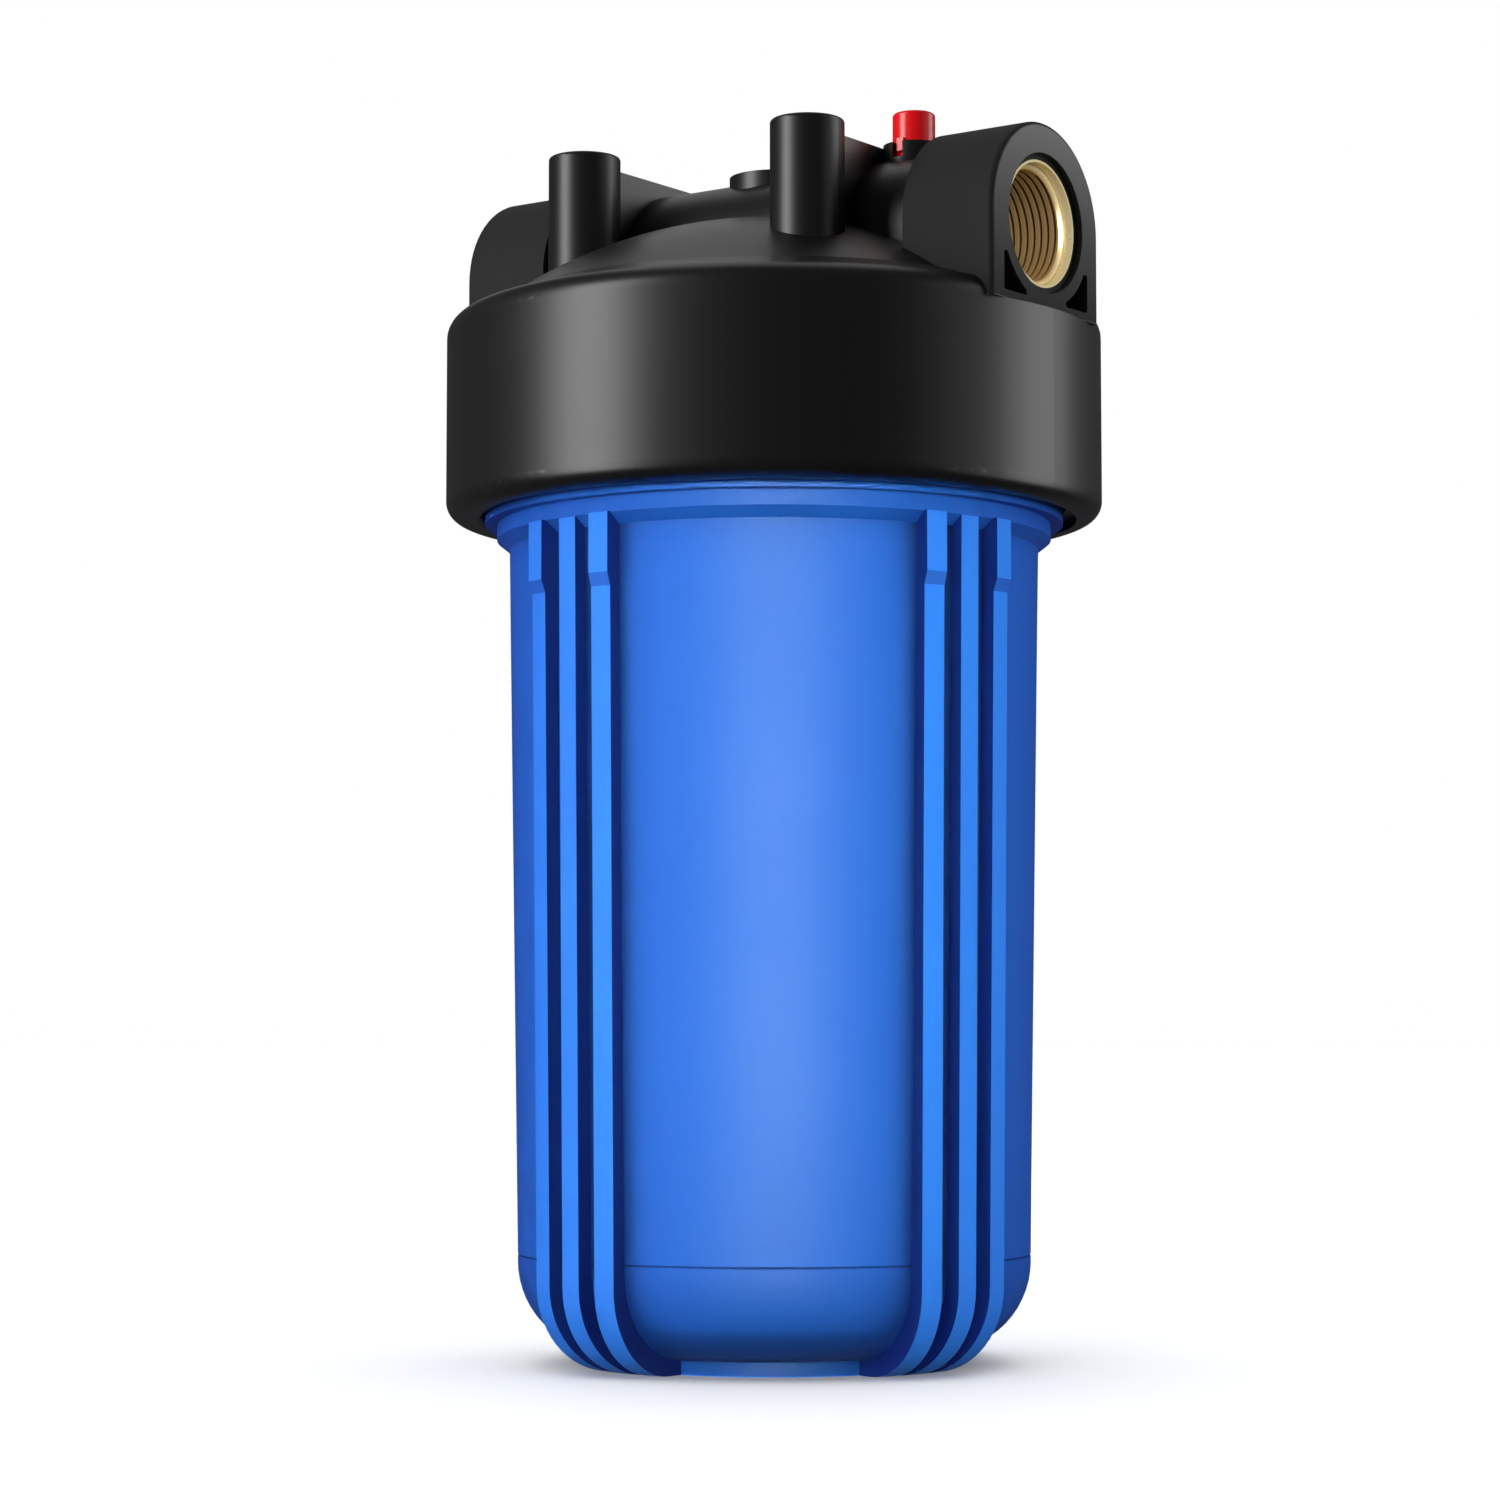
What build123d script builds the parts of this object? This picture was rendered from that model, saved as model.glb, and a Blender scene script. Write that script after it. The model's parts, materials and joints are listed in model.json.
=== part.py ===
"""Large-diameter cartridge filter housing: cap, sump, pleated cartridge and vent valve.

Millimetres, +Z up. The origin is the middle of the base, on the housing's axis, and +X runs out
through the inlet port. Every height is measured from the base that the housing stands on.
"""
import os
from math import cos, pi, radians, sin

from build123d import *

# ---- Cap: skirt and dome ------------------------------------------------------------------------
SKIRT_R = 92.0
SKIRT_BOTTOM = 234.0
SKIRT_TOP = 284.8
SKIRT_EDGE_R = 5.0
SHOULDER_R = 88.2
SHOULDER_TOP = 290.6
CREASE_WIDTH = 0.9
CREASE_DEPTH = 0.5
SHELF_R = 77.0
DOME_R = 135.0
DOME_TOP = 318.5
DOME_CENTRE = DOME_TOP - DOME_R
DOME_WALL = 6.4
BORE_R = 82.0
LAND_HEIGHT = 273.3
CAVITY_R = 70.0
MOUTH_CHAMFER = 1.0

# ---- Cap: ports and flow tube -------------------------------------------------------------------
PORT_HEIGHT = 308.3
TUBE_R = 22.8
WATERWAY_R = 13.5
BOSS_R = 27.4
BOSS_INNER_X = 61.6
FACE_X = 89.9
FACE_EDGE_R = 1.5
BOSS_BOTTOM = SKIRT_TOP
FACE_CLEARANCE = 3.0
RECESS_R = 19.0
RECESS_DEPTH = 1.8
POCKET_HALF_WIDTH = 21.4
POCKET_FLOOR = PORT_HEIGHT - 21.3
POCKET_TOP = PORT_HEIGHT - 10.8
POCKET_ARC_R = 22.4
POCKET_DEPTH = 16.0
POCKET_CORNER_R = 0.8

# ---- Cap: partition, bowl opening and nozzle ----------------------------------------------------
INLET_END_X = 17.0
OUTLET_END_X = 10.5
OPENING_LENGTH = 27.0
OPENING_WIDTH = 20.0
NOZZLE_BORE_R = 10.5
SPIGOT_R = 12.8
SPIGOT_BOTTOM = 254.0
NOZZLE_FLANGE_R = 23.0
NOZZLE_FLANGE_BOTTOM = 268.0
NOZZLE_NECK_R = 17.0
NOZZLE_NECK_BOTTOM = 277.0
KNIFE_R = 20.0
KNIFE_HALF_WIDTH = 1.6
SPIGOT_CHAMFER = 1.0
SEAL_GAP = 0.3

# ---- Cap: bracket posts, webs and centre pad ----------------------------------------------------
POST_SPACING = 76.2
POST_R = 10.1
POST_BOTTOM = 301.5
POST_TOP = 336.2
POST_EDGE_R = 1.0
EDGE_SEARCH = 0.01
PILOT_R = 2.6
PILOT_DEPTH = 22.0
WEB_THICKNESS = 6.0
WEB_BOTTOM = 305.5
WEB_TOP = 334.2
PAD_R = 12.5
PAD_TOP = 332.2

# ---- Vent valve ---------------------------------------------------------------------------------
VENT_X = 47.5
COLLAR_R = 8.5
COLLAR_TOP = 335.0
COLLAR_SLOT_WIDTH = 3.3
COLLAR_SLOT_DEPTH = 4.3
VENT_BORE_R = 6.3
VENT_FLOOR = 327.5
STEM_HOLE_R = 2.7
VALVE_SEAT_R = 5.4
VALVE_SEAT = 323.6
BUTTON_R = 5.9
BUTTON_TOP = 344.1
BUTTON_BOTTOM = 330.2
BUTTON_POCKET_R = 5.0
BUTTON_POCKET_TOP = 336.8
BUTTON_EDGE_R = 1.0
TAB_WIDTH = 2.2
TAB_R = 7.1
TAB_BOTTOM = 332.6
TAB_TOP = 336.2
STEM_R = 2.2
STEM_BOTTOM = 321.7
SCREW_HOLE_R = 1.25
SCREW_HOLE_TOP = 332.5
SPRING_R = 3.6
SPRING_WIRE_R = 0.45
SPRING_TURNS = 4
SPRING_GAP = 0.05
VENT_RING_R = 3.4
VENT_RING_WIRE_R = 0.9
WASHER_R = 4.6
WASHER_HOLE_R = 1.4
WASHER_THICKNESS = 0.8
SCREW_R = 1.2
SCREW_TIP = 331.0
SCREW_HEAD_R = 2.4
SCREW_HEAD_HEIGHT = 1.5
SCREW_SLOT_WIDTH = 0.6
SCREW_SLOT_DEPTH = 0.6

# ---- Brass port inserts, 1 inch tapered pipe thread ---------------------------------------------
INSERT_FRONT_X = FACE_X - RECESS_DEPTH
INSERT_BACK_X = 66.0
INSERT_R = 19.9
INSERT_NOSE_R = 17.3
INSERT_NOSE_LENGTH = 2.5
INSERT_FLANGE_R = 21.0
INSERT_FLANGE_X = (76.0, 80.0)
INSERT_GROOVE_X = (69.0, 71.6)
INSERT_GROOVE_R = 18.3
INSERT_RING_R = 20.3
INSERT_OPENING_R = 16.6
INSERT_OPENING_LENGTH = 2.6
INSERT_CHAMFER = 0.9
PIPE_PITCH = 25.4 / 11.5
PIPE_CREST_R = 15.1
PIPE_ROOT_R = 16.7
PIPE_LEAD_TURNS = 1.3
PIPE_TURNS = 9.4
PIPE_START_ANGLE = 200.0
PIPE_MOUTH_SHARE = 0.46
PIPE_ROOT_WIDTH = 0.1
PIPE_OVERCUT = 0.3

# ---- Sump ---------------------------------------------------------------------------------------
FOOT_R = 46.6
FOOT_RECESS_R = 39.0
FOOT_RECESS_DEPTH = 3.0
KNUCKLE_R = 24.3
BODY_BOTTOM = 4.0
BODY_BOTTOM_R = 71.0
BODY_TOP_R = 74.15
BODY_TOP = 225.6
SEAM_HEIGHT = 30.1
SEAM_DEPTH = 0.3
SEAM_HALF_HEIGHT = 0.35
LOWER_RING_R = 77.7
LOWER_RING_BOTTOM = 228.4
COLLAR_BOTTOM = 232.7
SUMP_COLLAR_R = 81.1
RIM_HEIGHT = 272.3
SUMP_WALL = 6.0
SUMP_COLLAR_BORE_R = 71.5
SUMP_FLOOR = 10.5
SUMP_INNER_KNUCKLE_R = 19.0
RING_GROOVE_R = (74.0, 79.0)
RING_GROOVE_DEPTH = 3.9
SUMP_RING_R = 76.5
SUMP_RING_WIRE_R = 2.3
SEAT_POST_R = 12.8
SEAT_POST_TOP = 32.0
SEAT_ROOT_DEPTH = 6.5

# ---- Sump ribs ----------------------------------------------------------------------------------
RIB_GROUP_ANGLES = (-12.4, -100.0, 167.6, 80.0)
RIB_STEP_ANGLE = 9.2
RIB_THICKNESS = 6.4
RIB_TOP = 228.5
RIB_TOP_R = 77.7
RIB_BOTTOM_R = 75.45
RIB_PAD_R = 78.95
RIB_PAD_BOTTOM = 212.4
RIB_SLANT_BOTTOM = 208.9
RIB_CORNER_R = 23.9
RIB_ROOT_R = 40.0
RIB_ROOT_RISE = 2.0

# ---- Thread between cap and sump ----------------------------------------------------------------
PITCH = 6.35
RIDGE_TURNS = 4
RIDGE_START = 241.0
RIDGE_R = 84.4
RIDGE_BASE = 4.0
RIDGE_CREST = 2.2
ROOT_R = 84.9
THREAD_GAP = 0.3
THREAD_SINK = 0.5
GROOVE_TURNS_BELOW = 2

# ---- Cartridge ----------------------------------------------------------------------------------
CARTRIDGE_R = 57.0
CARTRIDGE_BOTTOM = 17.5
CARTRIDGE_TOP = 265.5
GASKET_THICKNESS = 3.0
GASKET_R = 28.0
END_HOLE_R = 14.4
END_PLATE = 3.5
END_LIP_HEIGHT = 10.0
END_LIP_THICKNESS = 1.8
CORE_BORE_R = 16.0
CORE_R = 18.4
CORE_SLOT_ROWS = 12
CORE_SLOT_WIDTH = 5.0
CORE_SLOT_HEIGHT = 9.0
PLEAT_COUNT = 64
PLEAT_INNER_R = 20.0
PLEAT_OUTER_R = 54.6
PLEAT_THICKNESS = 0.9

MEDIA_BOTTOM = CARTRIDGE_BOTTOM + GASKET_THICKNESS + END_PLATE
MEDIA_TOP = CARTRIDGE_TOP - GASKET_THICKNESS - END_PLATE

os.makedirs("parts", exist_ok=True)


def save(builder, label):
    """Label one finished piece and write its file."""
    builder.part.label = label
    export_step(builder.part, f"parts/{label}.step")


def helix_ridge(start_height, turns, base_r, tip_r, base_width, tip_width):
    """A trapezoidal ridge of the cap-to-sump thread, wound right-handed about Z."""
    with BuildPart() as ridge:
        with BuildLine() as path:
            Helix(PITCH, turns * PITCH, base_r, center=(0, 0, start_height))
        start = Plane(path.line @ 0, x_dir=(1, 0, 0), z_dir=path.line % 0)
        with BuildSketch(start):
            with BuildLine():
                Polyline(
                    (0, -base_width / 2),
                    (tip_r - base_r, -tip_width / 2),
                    (tip_r - base_r, tip_width / 2),
                    (0, base_width / 2),
                    close=True,
                )
            make_face()
        sweep(path=path.line, is_frenet=True)
    return ridge.part


def ring_section(inner_r, outer_r, bottom, top):
    """A plain ring about Z."""
    with BuildPart() as ring:
        with BuildSketch(Plane.XY.offset(bottom)):
            Circle(outer_r)
            Circle(inner_r, mode=Mode.SUBTRACT)
        extrude(amount=top - bottom)
    return ring.part


# ---- Brass insert envelope: the shape that the cap is moulded around ----------------------------
def insert_envelope():
    """The outside of a port insert and its seal ring, along +X at the port's height."""
    with BuildPart() as envelope:
        with BuildSketch(Plane.XZ.shift_origin((0, 0, PORT_HEIGHT))):
            with BuildLine():
                Polyline(
                    (INSERT_BACK_X, 0),
                    (INSERT_BACK_X, INSERT_R),
                    (INSERT_GROOVE_X[0], INSERT_R),
                    (INSERT_GROOVE_X[0], INSERT_RING_R),
                    (INSERT_GROOVE_X[1], INSERT_RING_R),
                    (INSERT_GROOVE_X[1], INSERT_R),
                    (INSERT_FLANGE_X[0], INSERT_R),
                    (INSERT_FLANGE_X[0], INSERT_FLANGE_R),
                    (INSERT_FLANGE_X[1], INSERT_FLANGE_R),
                    (INSERT_FLANGE_X[1], INSERT_R),
                    (INSERT_FRONT_X - INSERT_NOSE_LENGTH, INSERT_R),
                    (INSERT_FRONT_X - INSERT_NOSE_LENGTH, INSERT_NOSE_R),
                    (INSERT_FRONT_X, INSERT_NOSE_R),
                    (INSERT_FRONT_X, 0),
                    close=True,
                )
            make_face()
        revolve(axis=Axis((0, 0, PORT_HEIGHT), (1, 0, 0)))
    return envelope.part


def port_boss():
    """The arch-shaped boss round the inlet, with its rounded face edge."""
    with BuildPart() as boss:
        boss_plane = Plane((BOSS_INNER_X, 0, PORT_HEIGHT), x_dir=(0, 1, 0), z_dir=(1, 0, 0))
        with BuildSketch(boss_plane):
            with BuildLine():
                left = Line((-BOSS_R, 0), (-BOSS_R, BOSS_BOTTOM - PORT_HEIGHT))
                bottom = Line(left @ 1, (BOSS_R, BOSS_BOTTOM - PORT_HEIGHT))
                right = Line(bottom @ 1, (BOSS_R, 0))
                ThreePointArc(right @ 1, (0, BOSS_R), left @ 0)
            make_face()
        extrude(amount=FACE_X - BOSS_INNER_X)
        face_edges = boss.faces().sort_by(Axis.X)[-1].edges()
        fillet(face_edges.sort_by(Axis.Z)[1:], FACE_EDGE_R)
    return boss.part


# ---- Cap ----------------------------------------------------------------------------------------
insert_outside = insert_envelope()
boss_solid = port_boss()
thread_groove = helix_ridge(
    RIDGE_START - GROOVE_TURNS_BELOW * PITCH,
    RIDGE_TURNS + GROOVE_TURNS_BELOW + THREAD_GAP,
    BORE_R - THREAD_SINK,
    ROOT_R,
    RIDGE_BASE + 2 * THREAD_GAP,
    RIDGE_CREST + 2 * THREAD_GAP,
)

with BuildPart() as head_cap:
    # Skirt, rounded shoulder with a fine crease inside it, shallow shelf and spherical dome
    with BuildSketch(Plane.XZ):
        with BuildLine():
            skirt_wall = Line((SKIRT_R, SKIRT_BOTTOM + SKIRT_EDGE_R), (SKIRT_R, SKIRT_TOP))
            shoulder = TangentArc(skirt_wall @ 1, (SHOULDER_R, SHOULDER_TOP), tangent=skirt_wall % 1)
            shelf = Polyline(
                shoulder @ 1,
                (SHOULDER_R - CREASE_WIDTH / 2, SHOULDER_TOP - CREASE_DEPTH),
                (SHOULDER_R - CREASE_WIDTH, SHOULDER_TOP),
                (SHELF_R, DOME_CENTRE + (DOME_R**2 - SHELF_R**2) ** 0.5),
            )
            dome = RadiusArc(shelf @ 1, (0, DOME_TOP), -DOME_R)
            middle = Line(dome @ 1, (0, SKIRT_BOTTOM))
            underside = Line(middle @ 1, (SKIRT_R - SKIRT_EDGE_R, SKIRT_BOTTOM))
            TangentArc(underside @ 1, skirt_wall @ 0, tangent=underside % 1)
        make_face()
    revolve(axis=Axis.Z)

    # Inside: threaded bore, seal land and the domed space above the cartridge
    inner_dome_r = DOME_R - DOME_WALL
    with BuildSketch(Plane.XZ):
        with BuildLine():
            inner_top = (0, DOME_CENTRE + inner_dome_r)
            inner_edge = (CAVITY_R, DOME_CENTRE + (inner_dome_r**2 - CAVITY_R**2) ** 0.5)
            Polyline(
                inner_top,
                (0, SKIRT_BOTTOM),
                (BORE_R + MOUTH_CHAMFER, SKIRT_BOTTOM),
                (BORE_R, SKIRT_BOTTOM + MOUTH_CHAMFER),
                (BORE_R, LAND_HEIGHT),
                (CAVITY_R, LAND_HEIGHT),
                inner_edge,
            )
            RadiusArc(inner_edge, inner_top, -inner_dome_r)
        make_face()
    revolve(axis=Axis.Z, mode=Mode.SUBTRACT)

    # Port bosses, one at each end of the flow tube
    add(boss_solid)
    add(boss_solid.rotate(Axis.Z, 180))

    # Shoulder cut back to a flat ledge in front of each port face
    with BuildSketch(Plane.XY.offset(BOSS_BOTTOM)):
        with GridLocations(2 * FACE_X + FACE_CLEARANCE, 0, 2, 1):
            Rectangle(FACE_CLEARANCE, 2 * BOSS_R)
    extrude(amount=SHOULDER_TOP - BOSS_BOTTOM, mode=Mode.SUBTRACT)

    # Flow tube along X, and the nozzle that feeds the outlet from the cartridge's core
    with BuildSketch(Plane.YZ.offset(-BOSS_INNER_X)):
        with Locations((0, PORT_HEIGHT)):
            Circle(TUBE_R)
    extrude(amount=2 * BOSS_INNER_X)
    knife_tip = CARTRIDGE_TOP + SEAL_GAP
    with BuildSketch(Plane.XZ):
        with BuildLine():
            Polyline(
                (0, SPIGOT_BOTTOM),
                (SPIGOT_R - SPIGOT_CHAMFER, SPIGOT_BOTTOM),
                (SPIGOT_R, SPIGOT_BOTTOM + SPIGOT_CHAMFER),
                (SPIGOT_R, NOZZLE_FLANGE_BOTTOM),
                (KNIFE_R - KNIFE_HALF_WIDTH, NOZZLE_FLANGE_BOTTOM),
                (KNIFE_R, knife_tip),
                (KNIFE_R + KNIFE_HALF_WIDTH, NOZZLE_FLANGE_BOTTOM),
                (NOZZLE_FLANGE_R, NOZZLE_FLANGE_BOTTOM),
                (NOZZLE_FLANGE_R, NOZZLE_FLANGE_BOTTOM + KNIFE_HALF_WIDTH),
                (NOZZLE_NECK_R, NOZZLE_NECK_BOTTOM),
                (NOZZLE_NECK_R, PORT_HEIGHT - WATERWAY_R),
                (0, PORT_HEIGHT - WATERWAY_R),
                close=True,
            )
        make_face()
    revolve(axis=Axis.Z)

    # Bracket posts, the webs between each pair, and the round pad on the tube
    with BuildSketch(Plane.XY.offset(POST_BOTTOM)):
        with GridLocations(POST_SPACING, POST_SPACING, 2, 2):
            Circle(POST_R)
    extrude(amount=POST_TOP - POST_BOTTOM)
    post_rims = head_cap.edges().filter_by(GeomType.CIRCLE).filter_by_position(
        Axis.Z, POST_TOP - EDGE_SEARCH, POST_TOP + EDGE_SEARCH
    )
    fillet(post_rims, POST_EDGE_R)
    with BuildSketch(Plane.XY.offset(WEB_BOTTOM)):
        with GridLocations(POST_SPACING, 0, 2, 1):
            Rectangle(WEB_THICKNESS, POST_SPACING)
    extrude(amount=WEB_TOP - WEB_BOTTOM)
    with BuildSketch(Plane.XY.offset(PORT_HEIGHT + WATERWAY_R)):
        Circle(PAD_R)
    extrude(amount=PAD_TOP - PORT_HEIGHT - WATERWAY_R)

    # Vent collar on the inlet side
    with BuildSketch(Plane.XY.offset(PORT_HEIGHT + WATERWAY_R)):
        with Locations((VENT_X, 0)):
            Circle(COLLAR_R)
    extrude(amount=COLLAR_TOP - PORT_HEIGHT - WATERWAY_R)

    # Waterways: inlet down to the bowl, nozzle up to the outlet
    with BuildSketch(Plane.YZ.offset(INLET_END_X)):
        with Locations((0, PORT_HEIGHT)):
            Circle(WATERWAY_R)
    extrude(amount=INSERT_BACK_X - INLET_END_X, mode=Mode.SUBTRACT)
    with BuildSketch(Plane.YZ.offset(-INSERT_BACK_X)):
        with Locations((0, PORT_HEIGHT)):
            Circle(WATERWAY_R)
    extrude(amount=INSERT_BACK_X + OUTLET_END_X, mode=Mode.SUBTRACT)
    with BuildSketch(Plane.XY.offset(SPIGOT_BOTTOM)):
        Circle(NOZZLE_BORE_R)
    extrude(amount=PORT_HEIGHT - SPIGOT_BOTTOM, mode=Mode.SUBTRACT)
    with BuildSketch(Plane.XY.offset(PORT_HEIGHT)):
        with Locations((INLET_END_X + OPENING_LENGTH / 2, 0)):
            RectangleRounded(OPENING_LENGTH, OPENING_WIDTH, OPENING_WIDTH / 4)
    extrude(amount=-TUBE_R - DOME_WALL, mode=Mode.SUBTRACT)

    # Insert pockets, face recesses and the triangular corner pockets of each face
    add(insert_outside, mode=Mode.SUBTRACT)
    add(insert_outside.rotate(Axis.Z, 180), mode=Mode.SUBTRACT)
    for side in (1, -1):
        recess_plane = Plane((side * FACE_X, 0, PORT_HEIGHT), x_dir=(0, side, 0), z_dir=(side, 0, 0))
        with BuildSketch(recess_plane):
            Circle(RECESS_R)
        extrude(amount=-RECESS_DEPTH, mode=Mode.SUBTRACT)
        with BuildSketch(recess_plane) as corner_pockets:
            pocket_middle = (POCKET_FLOOR + POCKET_TOP) / 2 - PORT_HEIGHT
            with Locations((0, pocket_middle)):
                Rectangle(2 * POCKET_HALF_WIDTH, POCKET_TOP - POCKET_FLOOR)
            Circle(POCKET_ARC_R, mode=Mode.SUBTRACT)
            fillet(corner_pockets.vertices(), POCKET_CORNER_R)
        extrude(amount=-POCKET_DEPTH, mode=Mode.SUBTRACT)

    # Vent bore, its slot, the stem hole and the valve seat inside the inlet waterway
    with BuildSketch(Plane.XY.offset(VENT_FLOOR)):
        with Locations((VENT_X, 0)):
            Circle(VENT_BORE_R)
    extrude(amount=COLLAR_TOP - VENT_FLOOR, mode=Mode.SUBTRACT)
    with BuildSketch(Plane.XY.offset(COLLAR_TOP)):
        with Locations((VENT_X, -COLLAR_R)):
            Rectangle(COLLAR_SLOT_WIDTH, COLLAR_R)
    extrude(amount=-COLLAR_SLOT_DEPTH, mode=Mode.SUBTRACT)
    with BuildSketch(Plane.XY.offset(PORT_HEIGHT)):
        with Locations((VENT_X, 0)):
            Circle(STEM_HOLE_R)
    extrude(amount=VENT_FLOOR - PORT_HEIGHT, mode=Mode.SUBTRACT)
    with BuildSketch(Plane.XY.offset(PORT_HEIGHT)):
        with Locations((VENT_X, 0)):
            Circle(VALVE_SEAT_R)
    extrude(amount=VALVE_SEAT - PORT_HEIGHT, mode=Mode.SUBTRACT)

    # Pilot holes for the bracket screws
    with BuildSketch(Plane.XY.offset(POST_TOP)):
        with GridLocations(POST_SPACING, POST_SPACING, 2, 2):
            Circle(PILOT_R)
    extrude(amount=-PILOT_DEPTH, mode=Mode.SUBTRACT)

    # Internal thread for the sump
    add(thread_groove, mode=Mode.SUBTRACT)
save(head_cap, "head_cap")


# ---- Port inserts and their seal rings ----------------------------------------------------------
def seal_ring():
    """The square-section ring moulded into the groove round a port insert."""
    with BuildPart() as ring:
        with BuildSketch(Plane.YZ.offset(INSERT_GROOVE_X[0])):
            with Locations((0, PORT_HEIGHT)):
                Circle(INSERT_RING_R)
                Circle(INSERT_GROOVE_R, mode=Mode.SUBTRACT)
        extrude(amount=INSERT_GROOVE_X[1] - INSERT_GROOVE_X[0])
    return ring.part


def pipe_thread():
    """The cutter for the pipe thread: a V wound round the bore, starting behind the insert's back."""
    start_x = INSERT_BACK_X - PIPE_LEAD_TURNS * PIPE_PITCH
    depth = PIPE_ROOT_R - PIPE_CREST_R
    half_mouth = PIPE_PITCH * PIPE_MOUTH_SHARE / 2 * (1 + PIPE_OVERCUT / depth)
    with BuildPart() as cutter:
        with BuildLine() as path:
            Helix(
                PIPE_PITCH,
                PIPE_TURNS * PIPE_PITCH,
                PIPE_CREST_R,
                center=(start_x, 0, PORT_HEIGHT),
                direction=(1, 0, 0),
            )
        outward = (path.line @ 0) - Vector(start_x, 0, PORT_HEIGHT)
        with BuildSketch(Plane(path.line @ 0, x_dir=outward, z_dir=path.line % 0)):
            with BuildLine():
                Polyline(
                    (-PIPE_OVERCUT, -half_mouth),
                    (depth, -PIPE_ROOT_WIDTH / 2),
                    (depth, PIPE_ROOT_WIDTH / 2),
                    (-PIPE_OVERCUT, half_mouth),
                    close=True,
                )
            make_face()
        sweep(path=path.line, is_frenet=True)
    return cutter.part.rotate(Axis((0, 0, PORT_HEIGHT), (1, 0, 0)), PIPE_START_ANGLE)


def port_insert():
    """A brass insert with its counterbored opening, chamfer and threaded bore."""
    opening_end = INSERT_FRONT_X - INSERT_OPENING_LENGTH
    with BuildPart() as insert:
        add(insert_outside)
        add(insert_ring, mode=Mode.SUBTRACT)
        with BuildSketch(Plane.XZ.shift_origin((0, 0, PORT_HEIGHT))):
            with BuildLine():
                Polyline(
                    (INSERT_BACK_X, 0),
                    (INSERT_BACK_X, PIPE_CREST_R),
                    (opening_end - INSERT_CHAMFER, PIPE_CREST_R),
                    (opening_end, PIPE_CREST_R + INSERT_CHAMFER),
                    (opening_end, INSERT_OPENING_R),
                    (INSERT_FRONT_X, INSERT_OPENING_R),
                    (INSERT_FRONT_X, 0),
                    close=True,
                )
            make_face()
        revolve(axis=Axis((0, 0, PORT_HEIGHT), (1, 0, 0)), mode=Mode.SUBTRACT)
        add(pipe_thread(), mode=Mode.SUBTRACT)
    return insert.part


insert_ring = seal_ring()
insert_body = port_insert()
for port_name, port_angle in (("inlet", 0), ("outlet", 180)):
    with BuildPart() as port_piece:
        add(insert_body.rotate(Axis.Z, port_angle))
    save(port_piece, f"{port_name}_insert")
    with BuildPart() as port_seal:
        add(insert_ring.rotate(Axis.Z, port_angle))
    save(port_seal, f"{port_name}_insert_seal")

# ---- Sump ---------------------------------------------------------------------------------------
thread_ridge = helix_ridge(
    RIDGE_START,
    RIDGE_TURNS,
    SUMP_COLLAR_R - THREAD_SINK,
    RIDGE_R,
    RIDGE_BASE,
    RIDGE_CREST,
)
knuckle_centre = (BODY_BOTTOM_R - KNUCKLE_R, BODY_BOTTOM + KNUCKLE_R)
inner_bottom_r = BODY_BOTTOM_R - SUMP_WALL
inner_top_r = BODY_TOP_R - SUMP_WALL


def rib_profile(top_r):
    """One rib's outline in its own radial plane, from the sump's wall out to its edge."""
    with BuildSketch() as outline:
        with BuildLine():
            edge_top = (RIB_TOP_R, RIB_TOP) if top_r == RIB_TOP_R else (RIB_TOP_R, RIB_SLANT_BOTTOM)
            corner_start = (RIB_BOTTOM_R, RIB_CORNER_R)
            edge = Line(edge_top, corner_start)
            corner = RadiusArc(edge @ 1, (RIB_BOTTOM_R - RIB_CORNER_R, 0), RIB_CORNER_R)
            points = [
                corner @ 1,
                (RIB_ROOT_R, 0),
                (RIB_ROOT_R, SUMP_FLOOR / 2),
                (BODY_BOTTOM_R - KNUCKLE_R, SUMP_FLOOR / 2 + RIB_ROOT_RISE),
                (BODY_BOTTOM_R - SUMP_WALL / 2, KNUCKLE_R),
                (BODY_TOP_R - SUMP_WALL / 2, RIB_TOP),
            ]
            if top_r != RIB_TOP_R:
                points += [(top_r, RIB_TOP), (top_r, RIB_PAD_BOTTOM)]
            Polyline(*points, edge @ 0)
        make_face()
    return outline.sketch


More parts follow.
